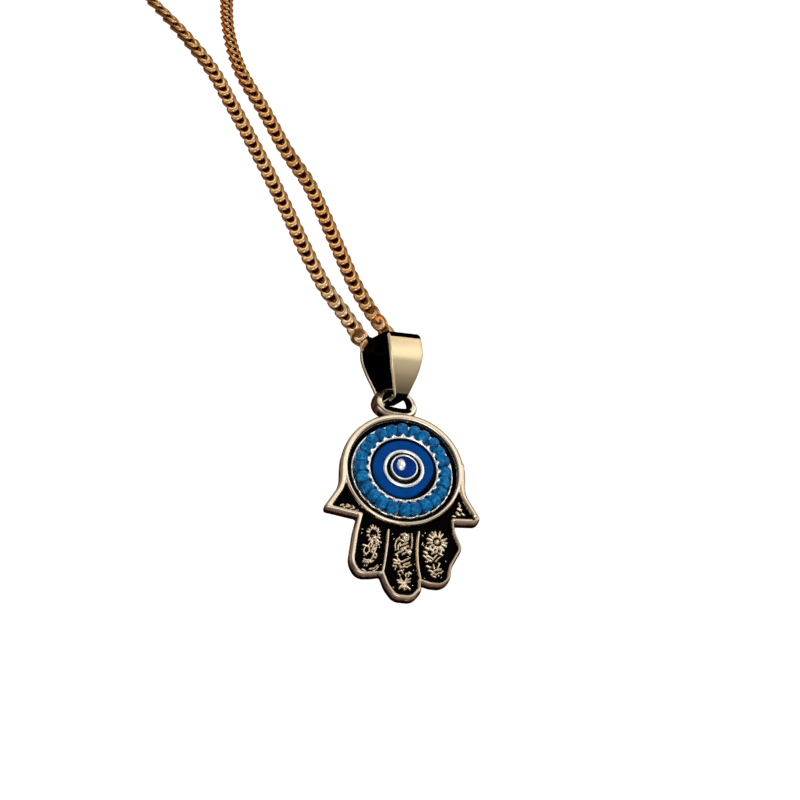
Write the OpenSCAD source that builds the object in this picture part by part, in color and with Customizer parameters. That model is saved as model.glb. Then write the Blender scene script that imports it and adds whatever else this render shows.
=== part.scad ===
// Hamsa pendant on a curb chain: a cast hand with an eye of beads and enamel, hung from a folded bail.
// X runs to the right, Y to the back and Z up. The origin is the nape, in the middle of the clasp.

/* [Hand] */
// Radius of the round palm
palm_r = 8.8; // [8.6:0.1:9.4]
// Width from the tip of one thumb to the tip of the other, before rounding
thumb_span = 22.6; // [21.8:0.1:23.6]
// Distance from the middle of the eye down to the tips of the fingers, before rounding
finger_drop = 19.6; // [19:0.1:21]
// Thickness of the casting at its rim
hand_t = 2.1; // [2:0.05:2.8]
// Width of the raised wall around the fingers and thumbs
wall = 0.8; // [0.6:0.05:0.9]
// Depth of the hollows of the fingers below the rim
finger_recess = 0.95; // [0.6:0.05:1.2]
// Width of the raised ribs between the fingers
rib_w = 0.44; // [0.35:0.01:0.6]
// Height of the flowers and leaves above the floor of the fingers
relief_h = 0.4; // [0.2:0.05:0.5]
// Radius of the largest flower, on the right finger
flower_r = 1.45; // [1.2:0.05:1.5]

/* [Loop on the hand] */
// Height of the hole in the loop
loop_hole_h = 3.3; // [3.2:0.1:3.8]
// Extra width of the hole over its height
loop_hole_extra = 0.9; // [0.6:0.1:1.4]
// Metal above the hole, where the bail carries the loop
loop_wire = 0.65; // [0.5:0.05:0.8]
// Metal beside the hole
loop_side = 1.1; // [0.8:0.05:1.2]
// Depth of the loop at its top
loop_top_d = 0.9; // [0.7:0.05:1]
// Offset of the loop from the middle of the palm, to the left
loop_shift = 0.8; // [0.4:0.1:1.2]
// Turn of the loop about the plumb line
loop_turn = 15; // [10:1:20]

/* [Bail] */
// Height of the bail, along its own slope
bail_h = 9.8; // [9.6:0.1:10.2]
// Width of the bail at its widest
bail_w = 5.85; // [5.4:0.05:6]
// Width of the strip where it carries the loop
bail_foot_w = 2.1; // [1.6:0.1:2.2]
// Depth of the bail at its deepest, front to back
bail_d = 7.4; // [7:0.1:7.7]
// Thickness of the strip
bail_t = 0.58; // [0.45:0.01:0.6]
// Turn of the bail about the plumb line
bail_turn = 25; // [20:1:30]
// Lean of the bail to its left
bail_lean = 11; // [8:1:13]
// Tip of its roof towards the front
bail_tip = 12; // [8:1:14]

/* [Eye] */
// Radius of the round recess for the eye
recess_r = 7.8; // [7.65:0.05:7.9]
// Depth of the round recess
recess_depth = 1.5; // [1.45:0.05:1.6]
// Radius of the silver dish in the recess
dish_r = 7.35; // [7.1:0.05:7.6]
// Thickness of the silver dish
dish_t = 0.3; // [0.2:0.05:0.32]
// Inner radius of the silver ring around the enamel
iris_r = 4.7; // [4.65:0.05:4.75]
// Thickness of that ring
iris_wall = 0.36; // [0.28:0.02:0.38]
// Width of the black line between that ring and the blue enamel
black_gap = 0.42; // [0.3:0.02:0.6]
// Inner radius of the thick silver ring around the pupil
pupil_r = 2.42; // [2.3:0.02:2.5]
// Thickness of the thick silver ring
pupil_wall = 0.5; // [0.4:0.02:0.6]
// Inner radius of the thin silver ring
core_r = 1.68; // [1.6:0.02:1.74]
// Thickness of the thin silver ring
core_wall = 0.26; // [0.2:0.02:0.3]
// Radius of the silver ball on the pupil
glint_r = 0.78; // [0.66:0.02:0.84]

/* [Beads] */
// Number of beads around the eye
bead_n = 24; // [20:1:24]
// Diameter of a bead
bead_d = 2; // [1.9:0.02:2.02]
// Length of a bead along the thread
bead_l = 1.46; // [1.3:0.02:1.46]
// Diameter of the hole in a bead
bead_bore = 0.62; // [0.56:0.02:0.8]
// Diameter of the thread
thread_d = 0.36; // [0.3:0.02:0.38]

/* [Chain] */
// Width of the chain
chain_d = 1.95; // [1.7:0.05:1.95]
// Length of the clasp at the nape
clasp_l = 9; // [6:0.5:12]
// Diameter of the clasp
clasp_d = 3.4; // [2.6:0.1:4.5]

/* [Hidden] */
$fn = 64;
// Clearance between pieces that lie in each other
gap = 0.05;
// Room below the wire of the loop, so that the hand can swing on the bail
seat_gap = 0.6;
// Room between the chain and the roof of the bail
roof_gap = 0.15;
// Metal between the hole of the loop and the edge of the palm
sill = 0.15;
// Width of the bezel around the recess
bezel_w = 0.62;
// Arc steps of rounded corners, in degrees
step = 12;

function bead_name(i) = str("bead_", i < 10 ? "0" : "", i);

// Directions of the chain: up its strands, from one strand across to the other, and to the back of both
bail_axis = [cos(bail_turn), sin(bail_turn), 0];
rise = [-0.375, 0.234, 0.898] / norm([-0.375, 0.234, 0.898]);
across = let (v = bail_axis - (bail_axis * rise) * rise) v / norm(v);
behind = cross(rise, across);
// Middle of the clasp, from the middle of the bail: across, up and behind
nape = [2.1, 192, 0.7];
// Routes from the middle of the bail to the clasp, with the same columns as the nape
left_route = [
    [0, 0, 0], [-2.9, 0.15, 0.2], [-4.4, 1.3, 0.3], [-4.6, 4, 0.5], [-4.7, 7.5, 0.7], [-5.3, 12.5, 0.7],
    [-4.8, 20, 0.7], [-3.4, 31, 0.7], [-2.4, 42, 0.7], [-1.7, 53, 0.7], [-1.6, 63, 0.7], [-4.9, 75, 0.7],
    [-12.4, 89, 0.7], [-23.9, 108, 0.7], [-33.4, 129, 0.7], [-35.4, 150, 0.7], [-29.9, 169, 0.7],
    [-17.9, 185, 0.7]];
right_route = [
    [0, 0, 0], [2.9, -0.15, -0.2], [4.2, -0.8, 0.1], [4.8, 0.5, 0.9], [4.8, 2.6, 1.6], [3.6, 4.5, 1.6],
    [2, 6.4, 0.9], [1.4, 9.5, 0.7], [1.5, 14.5, 0.7], [2.5, 21, 0.7], [3.8, 28.5, 0.7], [4.8, 36, 0.7],
    [4.4, 44, 0.7], [4.9, 53, 0.7], [5.3, 63, 0.7], [9.1, 75, 0.7], [16.6, 89, 0.7], [28.1, 108, 0.7],
    [37.6, 129, 0.7], [39.6, 150, 0.7], [34.1, 169, 0.7], [22.1, 185, 0.7]];
function placed(p) = p.x * across + p.y * rise + p.z * behind;

// Directions of the bail: along the chain inside it, and up from its foot to its roof
bail_along = [cos(bail_lean) * bail_axis.x, cos(bail_lean) * bail_axis.y, sin(bail_lean)];
bail_up = let (left = -sin(bail_lean) * cos(bail_tip), front = -sin(bail_tip))
    [left * bail_axis.x - front * bail_axis.y, left * bail_axis.y + front * bail_axis.x,
        cos(bail_lean) * cos(bail_tip)];

// Side view of the bail from its foot to its roof, for its front leaf and its back leaf: distance from the
// middle and corner radius as shares of its depth, and height as a share of its height.
front_leaf = [[0.215, 0.03, 0.16], [0.375, 0.33, 0.6], [0.48, 0.64, 0.7], [0.42, 1, 0.15]];
back_leaf = [[0.33, -0.045, 0.16], [0.42, 0.3, 0.6], [0.53, 0.64, 0.7], [0.49, 0.91, 0.16]];
front_roof = front_leaf[len(front_leaf) - 1];
back_roof = back_leaf[len(back_leaf) - 1];

// Places, from the nape down
chain_seat = -placed(nape);
roof_slope = atan2((1 - back_roof.y) * bail_h, (front_roof.x + back_roof.x) * bail_d);
seat_h = bail_h - front_roof.x * bail_d * tan(roof_slope)
    - (bail_t + roof_gap + chain_d / 2) / cos(roof_slope);
foot = chain_seat - seat_h * bail_up;
loop_seat = foot + bail_t * bail_up;
loop_hole_top = loop_seat.z + seat_gap;
loop_mid_z = loop_hole_top - loop_hole_h / 2;
// The hole's lower edge is the top of the palm
eye_z = loop_hole_top - loop_hole_h - sill - palm_r;
eye = [loop_seat.x + loop_shift, loop_seat.y - hand_t / 2, eye_z];

// Depths in the recess, from the rim's front plane to the back
floor_y = recess_depth;
dish_y = floor_y - gap - dish_t;
bead_ring_r = iris_r + iris_wall + gap + bead_d / 2;
bead_y = dish_y - gap - bead_d / 2;
// Heights of the eye's rings in front of the rim
iris_rise = 0.3;
pupil_rise = 0.5;
core_rise = 0.85;
// Depths of the faces of the black, the blue and the pupil's enamel
black_y = 0.35;
blue_y = -iris_rise + 0.08;
pupil_y = -core_rise + 0.12;

function left_of(u) = [-u.y, u.x];
function unit(v) = v / norm(v);
function bend_angle(a, b) = atan2(a.x * b.y - a.y * b.x, a * b);
function turned(v, a) = [v.x * cos(a) - v.y * sin(a), v.x * sin(a) + v.y * cos(a)];
function at_ring(rows, i) = rows[(i + len(rows)) % len(rows)];
function spot(rows, i) = let (r = at_ring(rows, i)) [r.x, r.y];

// Points of a closed outline whose corners, rows of x, y and radius, are rounded by arcs
function rounded(rows) = [
    for (i = [0:len(rows) - 1])
        let (p = spot(rows, i),
             u = unit(p - spot(rows, i - 1)),
             v = unit(spot(rows, i + 1) - p),
             t = bend_angle(u, v),
             r = rows[i][2],
             side = t > 0 ? 1 : -1,
             start = p - u * r * tan(abs(t) / 2),
             arm = -side * r * left_of(u),
             n = r > 0 ? ceil(abs(t) / step) : 0)
        for (k = [0:n]) start - arm + turned(arm, n > 0 ? t * k / n : 0)];

// Rows moved inwards, each edge by the width in its row, for an outline that runs anticlockwise
function inset(rows) = [
    for (i = [0:len(rows) - 1])
        let (p = spot(rows, i),
             u = unit(p - spot(rows, i - 1)),
             v = unit(spot(rows, i + 1) - p),
             a = at_ring(rows, i - 1)[3],
             b = rows[i][3],
             k = (b - a * (left_of(u) * left_of(v))) / (u * left_of(v)),
             q = p + left_of(u) * a + u * k,
             r = bend_angle(u, v) > 0 ? max(rows[i][2] - (a + b) / 2, 0.12) : rows[i][2] + 0.1)
        [q.x, q.y, r]];

// Corners of the thumbs and fingers, anticlockwise from the left of the palm.
// Columns: x as a share of half the thumb span, z and radius as shares of the finger drop,
// and the wall of the edge that follows as a share of the wall.
hand_table = [
    [-0.752, 0.072, 0, 1.1], [-0.808, -0.15, 0.25, 1.1], [-1.01, -0.329, 0.02, 0.9],
    [-0.587, -0.377, 0.015, 1], [-0.64, -0.495, 0.3, 1], [-0.704, -0.729, 0.15, 0.95],
    [-0.597, -0.834, 0.085, 0.8], [-0.422, -0.827, 0.08, 0.65], [-0.312, -0.815, 0.012, 0.85],
    [-0.257, -0.903, 0.15, 0.85], [-0.15, -0.991, 0.09, 0.85], [0.084, -0.997, 0.08, 0.85],
    [0.193, -0.925, 0.06, 0.65], [0.191, -0.86, 0.012, 0.65], [0.308, -0.879, 0.1, 0.65],
    [0.543, -0.887, 0.1, 0.6], [0.578, -0.73, 0.13, 0.6], [0.722, -0.583, 0.075, 0.6],
    [0.638, -0.46, 0.1, 0.6], [0.63, -0.39, 0.015, 0.95], [0.923, -0.385, 0.048, 0.9],
    [0.961, -0.342, 0.03, 1], [0.789, -0.168, 0.2, 1.1], [0.775, 0.072, 0, 1.1]];
hand_rows = [
    for (r = hand_table)
        [r[0] * thumb_span / 2, r[1] * finger_drop, r[2] * finger_drop, r[3] * wall]];

// Ribs between the fingers, from below the palm to the notch between two finger tips.
// Columns: x of top, middle and foot as shares of half the thumb span, their z as shares of the finger drop.
rib_table = [
    [[-0.201, -0.474], [-0.226, -0.643], [-0.283, -0.801]],
    [[0.181, -0.474], [0.119, -0.668], [0.186, -0.847]]];

function bend(a, b, c, t) = (1 - t) * (1 - t) * a + 2 * t * (1 - t) * b + t * t * c;
function bend_way(a, b, c, t) = unit((1 - t) * (b - a) + t * (c - b));

module rib(row) {
    p = [for (q = row) [q.x * thumb_span / 2, q.y * finger_drop]];
    n = 8;
    side = [for (k = [0:n]) left_of(bend_way(p[0], p[1], p[2], k / n)) * rib_w / 2];
    mid = [for (k = [0:n]) bend(p[0], p[1], p[2], k / n)];
    // Its upper end is a half circle, and its foot runs on into the wall
    polygon(concat(
        [for (k = [0:n]) mid[k] + side[k]], [for (k = [n:-1:0]) mid[k] - side[k]],
        [for (k = [1:n - 1]) mid[0] + turned(side[0], 180 - 180 * k / n)]));
}

// A solid between two depths, drawn in the plane of the hand's face
module slab(front, back) {
    translate([0, back, 0]) rotate([90, 0, 0]) linear_extrude(back - front) children();
}

// Flowers: x as a share of half the thumb span, z as a share of the finger drop, the number of petals, then
// the inner end, outer end and width of a petal and the radius of the boss, as shares of the largest flower.
flower_table = [
    [-0.376, -0.515, 12, 0.497, 0.772, 0.207, 0.234],
    [-0.018, -0.51, 6, 0.207, 0.414, 0.207, 0.234],
    [-0.031, -0.607, 8, 0.29, 0.69, 0.234, 0.248],
    [-0.035, -0.865, 6, 0.234, 0.655, 0.234, 0.207],
    [0.407, -0.531, 12, 0.586, 1, 0.248, 0.317]];
// Leaves that fan out from one point: x and z as above, length and width as shares of the largest flower,
// and their angles.
leaf_table = [
    [-0.438, -0.656, 0.428, 0.234, [20, 75, 130, 200, 255, 320]],
    [-0.442, -0.727, 0.428, 0.207, [30, 90, 150]],
    [-0.044, -0.709, 0.552, 0.248, [35, 90, 145, 215, 270, 325]],
    [0, -0.786, 0.276, 0.207, [0, 120, 240]],
    [0.367, -0.666, 0.517, 0.248, [15, 65, 115, 165, 220, 320]],
    [0.35, -0.758, 0.483, 0.248, [20, 90, 160, 235, 305]]];

function in_finger(row) = [row[0] * thumb_span / 2, row[1] * finger_drop];

module flower(row) {
    inner = row[3] * flower_r;
    outer = row[4] * flower_r;
    petal_w = row[5] * flower_r;
    translate(in_finger(row)) {
        for (k = [0:row[2] - 1]) rotate(k * 360 / row[2]) translate([inner, -petal_w / 2])
            square([outer - inner, petal_w]);
        circle(row[6] * flower_r, $fn = 24);
    }
}

module leaves(row) {
    leaf_l = row[2] * flower_r;
    leaf_w = row[3] * flower_r;
    translate(in_finger(row)) for (a = row[4]) rotate(a) polygon([
        [leaf_w / 3, -leaf_w / 2], [leaf_l, -leaf_w / 2], [leaf_l + leaf_w / 2, -leaf_w / 5],
        [leaf_l + leaf_w / 2, leaf_w / 5], [leaf_l, leaf_w / 2], [leaf_w / 3, leaf_w / 2]]);
}

module finger_ornament() {
    for (row = flower_table) flower(row);
    for (row = leaf_table) leaves(row);
}

module finger_hollows() {
    difference() {
        polygon(rounded(inset(hand_rows)));
        circle(recess_r + bezel_w);
        for (row = rib_table) rib(row);
    }
}

// The loop is a ring whose hole is wider than it is high, and it thins towards its top
module loop_outline(extra, side) {
    half_w = loop_hole_h / 2 + loop_hole_extra / 2 + extra + side;
    half_h = loop_hole_h / 2 + extra;
    corner = half_h - 0.01;
    polygon(rounded([[-half_w, -half_h, corner], [half_w, -half_h, corner],
        [half_w, half_h, corner], [-half_w, half_h, corner]]));
}

module loop() {
    top = loop_hole_h / 2 + loop_wire;
    half = (hand_t - 0.1) / 2;
    translate([-loop_shift, hand_t / 2, loop_mid_z - eye_z]) rotate([0, 0, loop_turn]) {
        intersection() {
            slab(-half, half) difference() {
                loop_outline(loop_wire, loop_side - loop_wire);
                loop_outline(0, 0);
            }
            // Wedge that thins the loop from the palm to its top
            rotate([90, 0, 90]) linear_extrude(2 * palm_r, center = true) polygon([
                [-half, -top - 1], [half, -top - 1], [half, -loop_hole_h / 4],
                [loop_top_d / 2, loop_hole_h / 2 - 0.1], [loop_top_d / 2, top + 1],
                [-loop_top_d / 2, top + 1], [-loop_top_d / 2, loop_hole_h / 2 - 0.1],
                [-half, -loop_hole_h / 4]]);
        }
    }
}

module hand() {
    color("#c9b184") translate(eye) {
        difference() {
            union() {
                slab(0, hand_t) {
                    circle(palm_r);
                    polygon(rounded(hand_rows));
                }
                loop();
            }
            slab(-1, floor_y) circle(recess_r);
            slab(-1, finger_recess) finger_hollows();
        }
        slab(finger_recess - relief_h, finger_recess + 0.2) finger_ornament();
    }
}

bail_side = concat(
    [for (r = back_leaf) [r[0] * bail_d, r[1] * bail_h, r[2] * bail_d, bail_t]],
    [for (k = [len(front_leaf) - 1:-1:0])
        let (r = front_leaf[k]) [-r[0] * bail_d, r[1] * bail_h, r[2] * bail_d, bail_t]]);

// Front view of the bail from its foot to its roof: half width as a share of the way from the foot's width
// to the widest, and height and radius as shares of its height.
bail_front_table = [[0, -0.08, 0], [0.03, 0.05, 0.2], [0.75, 0.43, 0.6], [1, 0.68, 0.4], [0.94, 1.02, 0]];
bail_front = [
    for (side = [1, -1], k = [0:len(bail_front_table) - 1])
        let (r = bail_front_table[side > 0 ? k : len(bail_front_table) - 1 - k])
        [side * (bail_foot_w + (bail_w - bail_foot_w) * r[0]) / 2, r[1] * bail_h, r[2] * bail_h]];

module bail() {
    color("#cdb88c") translate(foot)
        rotate([0, 0, bail_turn]) rotate([0, -bail_lean, 0]) rotate([bail_tip, 0, 0]) intersection() {
            rotate([90, 0, 90]) linear_extrude(bail_w + 2, center = true) difference() {
                polygon(rounded(bail_side));
                polygon(rounded(inset(bail_side)));
            }
            rotate([90, 0, 0]) linear_extrude(bail_d + 2, center = true) polygon(rounded(bail_front));
        }
}

// Ring or disc of the eye between two depths
module eye_ring(front, back, inner, outer) {
    translate(eye) slab(front, back) difference() {
        circle(outer);
        if (inner > 0) circle(inner);
    }
}

module eye_dish() {
    color("#d9d9cf") {
        eye_ring(dish_y, dish_y + dish_t, 0, dish_r);
        eye_ring(-iris_rise, dish_y + dish_t / 2, iris_r, iris_r + iris_wall);
    }
}

module eye_black() {
    color("#111318") eye_ring(black_y, dish_y - gap, 0, iris_r - gap);
}

module eye_blue() {
    color("#0a3f8f") eye_ring(blue_y, black_y - gap, pupil_r + pupil_wall + gap, iris_r - black_gap);
}

module pupil_ring() {
    color("#dcdcd2") eye_ring(-pupil_rise, black_y - gap, pupil_r, pupil_r + pupil_wall);
}

module pupil() {
    color("#08246e") eye_ring(pupil_y, black_y - gap, 0, core_r - gap);
}

module pupil_rim() {
    color("#dcdcd2") eye_ring(-core_rise, black_y - gap, core_r, core_r + core_wall);
}

// The ball is a low dome on the pupil, left of and above its middle
module pupil_ball() {
    color("#e4e4dc") translate(eye + [-0.28 * core_r, pupil_y - gap, 0.2 * core_r]) intersection() {
        sphere(glint_r);
        translate([0, -glint_r, 0]) cube(2 * glint_r, center = true);
    }
}

module bead(i) {
    a = 90 - (i - 1) * 360 / bead_n;
    at = eye + [bead_ring_r * cos(a), bead_y, bead_ring_r * sin(a)];
    color("#1565ad") translate(at) rotate([0, -a, 0]) rotate_extrude() polygon(rounded([
        [bead_bore / 2, -bead_l / 2, 0], [bead_d / 2, -bead_l / 2, bead_d / 4],
        [bead_d / 2, bead_l / 2, bead_d / 4], [bead_bore / 2, bead_l / 2, 0]]));
}

module bead_thread() {
    color("#20324a") translate(eye + [0, bead_y, 0]) rotate([90, 0, 0])
        rotate_extrude() translate([bead_ring_r, 0]) circle(d = thread_d);
}

// Points of one half of the chain, which runs straight into the end of the clasp
function half_route(rows, side) =
    let (end = clasp_l / 2 + 2 * gap)
    [for (p = concat(rows, [for (x = [end + 2 * chain_d, end]) nape + [side * x, 0, 0]]))
        chain_seat + placed(p)];

// Smooth curve through the points, with a number of steps in each stretch
function knot(pts, i) = i < 0 ? 2 * pts[0] - pts[1]
    : i >= len(pts) ? 2 * pts[len(pts) - 1] - pts[len(pts) - 2] : pts[i];
function curve(pts, n) = concat(
    [for (i = [0:len(pts) - 2], k = [0:n - 1])
        let (t = k / n, a = knot(pts, i - 1), b = pts[i], c = pts[i + 1], d = knot(pts, i + 2))
        0.5 * (2 * b + (c - a) * t + (2 * a - 5 * b + 4 * c - d) * t * t
            + (3 * b - a - 3 * c + d) * t * t * t)],
    [pts[len(pts) - 1]]);

// Tube of eight sides along a curve that lies in the chain's plane
module tube(pts, d) {
    sides = 8;
    n = len(pts);
    out = -behind;
    r = d / 2 / cos(180 / sides);
    rings = [for (i = [0:n - 1])
        let (way = unit(knot(pts, i + 1) - knot(pts, i - 1)), side = cross(out, way))
        for (k = [0:sides - 1])
            let (a = 360 * (k + 0.5) / sides) pts[i] + r * (cos(a) * side + sin(a) * out)];
    skin = [for (i = [0:n - 2], k = [0:sides - 1])
        let (a = i * sides + k, b = i * sides + (k + 1) % sides)
        [b, a, a + sides, b + sides]];
    caps = [[for (k = [0:sides - 1]) k], [for (k = [sides - 1:-1:0]) (n - 1) * sides + k]];
    polyhedron(rings, concat(skin, caps));
}

// The halves meet in the middle of the bail and leave a gap there
function half_chain(rows, side) =
    let (p = curve(half_route(rows, side), 2))
    [for (i = [0:len(p) - 1]) i == 0 ? p[0] + side * gap / 2 * bail_along : p[i]];

module chain_left() {
    color("#b98f4e") tube(half_chain(left_route, -1), chain_d);
}

module chain_right() {
    color("#b98f4e") tube(half_chain(right_route, 1), chain_d);
}

// Plain barrel that joins the two ends of the chain at the nape
module clasp() {
    way = atan2(across.y, across.x);
    lift = asin(across.z);
    color("#b98f4e") rotate([0, 90 - lift, way]) cylinder(h = clasp_l, d = clasp_d, center = true);
}

hand();
bail();
eye_dish();
eye_black();
eye_blue();
pupil_ring();
pupil();
pupil_rim();
pupil_ball();
for (i = [1:bead_n]) {
    bead(i);
}
bead_thread();
chain_left();
chain_right();
clasp();
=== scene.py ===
import math
import random

import bpy
import numpy as np
from mathutils import Matrix


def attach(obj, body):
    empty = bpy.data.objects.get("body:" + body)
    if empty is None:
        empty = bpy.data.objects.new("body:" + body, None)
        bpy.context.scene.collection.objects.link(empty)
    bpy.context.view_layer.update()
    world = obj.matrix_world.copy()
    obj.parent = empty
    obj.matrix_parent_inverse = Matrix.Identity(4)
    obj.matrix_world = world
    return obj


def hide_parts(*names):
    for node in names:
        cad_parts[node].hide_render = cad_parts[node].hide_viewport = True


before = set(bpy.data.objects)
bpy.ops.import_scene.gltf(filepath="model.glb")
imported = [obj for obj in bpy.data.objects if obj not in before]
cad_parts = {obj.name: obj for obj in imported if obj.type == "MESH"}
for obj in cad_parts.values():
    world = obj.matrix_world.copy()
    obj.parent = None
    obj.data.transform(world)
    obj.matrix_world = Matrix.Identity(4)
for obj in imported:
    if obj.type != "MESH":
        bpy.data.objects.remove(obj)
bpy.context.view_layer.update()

MM = 0.001

# Places and sizes repeated from the CAD, in mm
EYE = np.array([71.8201, -45.6645, -190.924])
SEAT = np.array([70.4435, -46.5106, -172.463])
FOOT = np.array([71.0673, -44.4594, -179.83])
LOOP_SEAT = np.array([71.0201, -44.6145, -178.674])
HAND_T = 2.1
PALM_R = 8.8
RECESS_R = 7.8
RECESS_D = 1.5
BEZEL_R = 8.42
FLOOR_D = 0.95
LOOP_HOLE_H = 3.3
LOOP_HOLE_W = 4.2
LOOP_TURN = math.radians(15)
BAIL_TURN = math.radians(25)
BAIL_LEAN = math.radians(11)
BAIL_TIP = math.radians(12)

# Directions of the picture: to its right, up, and towards the viewer
VIEW_RIGHT = np.array([0.97972, -0.199, -0.02341])
VIEW_UP = np.array([-0.06863, -0.443, 0.89389])
VIEW_BACK = np.array([-0.18825, -0.87416, -0.44767])


def unit(v):
    v = np.asarray(v, float)
    return v / np.linalg.norm(v)


def clip01(v):
    return np.clip(v, 0, 1)


def signed_power(v, p):
    """A power that keeps the sign. Below 1 it makes a round form squarer."""
    return np.sign(v) * np.abs(v) ** p


def circle(n):
    """Even angles of a full turn."""
    return np.linspace(0, 2 * math.pi, n, endpoint=False)


def units(rows):
    return rows / np.linalg.norm(rows, axis=1)[:, None]


def tangents(ring, n=1):
    """Directions along a closed ring, from the nth point before to the nth point after."""
    return units(np.roll(ring, -n, axis=0) - np.roll(ring, n, axis=0))


def way_along(pts):
    """Length of the path up to each of its points."""
    return np.concatenate([[0], np.cumsum(np.linalg.norm(np.diff(pts, axis=0), axis=1))])


VIEWER = unit(VIEW_BACK)
BAIL_AXIS = np.array([math.cos(BAIL_TURN), math.sin(BAIL_TURN), 0.0])
RISE = unit([-0.375, 0.234, 0.898])
ACROSS = unit(BAIL_AXIS - (BAIL_AXIS @ RISE) * RISE)
BEHIND = np.cross(RISE, ACROSS)
BAIL_FRAME = np.array(Matrix.Rotation(BAIL_TURN, 3, "Z") @ Matrix.Rotation(-BAIL_LEAN, 3, "Y")
                      @ Matrix.Rotation(BAIL_TIP, 3, "X"))


# Meshes

def make(name, shape, material, body, replaces, toned=False):
    """A mesh object from a shape, with its material, its body and the nodes that it stands for."""
    mesh = bpy.data.meshes.new(name)
    mesh.from_pydata((np.array(shape.verts) * MM).tolist(), [], shape.faces)
    mesh.validate()
    mesh.update()
    for poly in mesh.polygons:
        poly.use_smooth = True
    if toned:
        layer = mesh.color_attributes.new("tone", "FLOAT_COLOR", "POINT")
        data = np.ones((len(shape.tones), 4))
        data[:, :3] = shape.tones
        layer.data.foreach_set("color", data.ravel())
    mesh.materials.append(material)
    obj = bpy.data.objects.new(name, mesh)
    bpy.context.scene.collection.objects.link(obj)
    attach(obj, body)
    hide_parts(*replaces)


class Shape:
    """Collects points in mm, faces, and tones of black, brown and shade from 0 to 1. Black is patina in the
    hand's hollows and painted shade or a painted dark reflection elsewhere; brown and shade are painted
    shade.
    """

    def __init__(self):
        self.verts = []
        self.faces = []
        self.tones = []

    def add(self, verts, faces, tones=(0, 0, 0)):
        base = len(self.verts)
        self.verts.extend(np.asarray(verts, float).tolist())
        self.faces.extend([[base + int(i) for i in f] for f in faces])
        self.tones.extend(np.broadcast_to(np.asarray(tones, float), (len(verts), 3)).tolist())

    def rings(self, rings, closed_way=False, closed_ring=True, tones=(0, 0, 0), caps=False):
        """Skins a list of rings of equal length."""
        n = len(rings)
        m = len(rings[0])
        faces = []
        for i in range(n if closed_way else n - 1):
            a = i * m
            b = ((i + 1) % n) * m
            for k in range(m if closed_ring else m - 1):
                k2 = (k + 1) % m
                faces.append([a + k, a + k2, b + k2, b + k])
        if caps:
            faces.append(list(range(m))[::-1])
            faces.append([(n - 1) * m + k for k in range(m)])
        self.add(np.concatenate(rings), faces, tones)


# Materials

def nodes_of(name):
    mat = bpy.data.materials.new(name)
    mat.use_nodes = True
    tree = mat.node_tree
    tree.nodes.clear()
    out = tree.nodes.new("ShaderNodeOutputMaterial")
    shader = tree.nodes.new("ShaderNodeBsdfPrincipled")
    tree.links.new(shader.outputs[0], out.inputs[0])
    return mat, tree, shader


def noise(tree, size_mm, detail=3.0, rough=0.55):
    coord = tree.nodes.new("ShaderNodeTexCoord")
    n = tree.nodes.new("ShaderNodeTexNoise")
    n.inputs["Scale"].default_value = 1000.0 / size_mm
    n.inputs["Detail"].default_value = detail
    n.inputs["Roughness"].default_value = rough
    tree.links.new(coord.outputs["Object"], n.inputs["Vector"])
    return n.outputs["Fac"]


def ramp(tree, source, stops):
    r = tree.nodes.new("ShaderNodeValToRGB")
    e = r.color_ramp.elements
    while len(e) < len(stops):
        e.new(0.5)
    for el, (pos, col) in zip(e, stops):
        el.position = pos
        el.color = (*col, 1.0) if len(col) == 3 else (col[0], col[0], col[0], 1.0)
    tree.links.new(source, r.inputs[0])
    return r.outputs[0]


def mix(tree, fac, a, b):
    m = tree.nodes.new("ShaderNodeMix")
    m.data_type = "RGBA"
    for socket, value in ((m.inputs[0], fac), (m.inputs[6], a), (m.inputs[7], b)):
        if hasattr(value, "links"):
            tree.links.new(value, socket)
        elif isinstance(value, (int, float)):
            socket.default_value = value
        else:
            socket.default_value = (*value, 1.0)
    return m.outputs[2]


def math_node(tree, op, a, b):
    m = tree.nodes.new("ShaderNodeMath")
    m.operation = op
    for socket, value in ((m.inputs[0], a), (m.inputs[1], b)):
        if hasattr(value, "links"):
            tree.links.new(value, socket)
        else:
            socket.default_value = value
    return m.outputs[0]


def map_range(tree, source, *bounds):
    """Maps the first two bounds to the last two."""
    m = tree.nodes.new("ShaderNodeMapRange")
    for name, value in zip(("From Min", "From Max", "To Min", "To Max"), bounds):
        m.inputs[name].default_value = value
    tree.links.new(source, m.inputs["Value"])
    return m.outputs[0]


def bump(tree, shader, source, depth_mm):
    b = tree.nodes.new("ShaderNodeBump")
    b.inputs["Distance"].default_value = depth_mm * MM
    b.inputs["Strength"].default_value = 1.0
    tree.links.new(source, b.inputs["Height"])
    tree.links.new(b.outputs[0], shader.inputs["Normal"])


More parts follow.
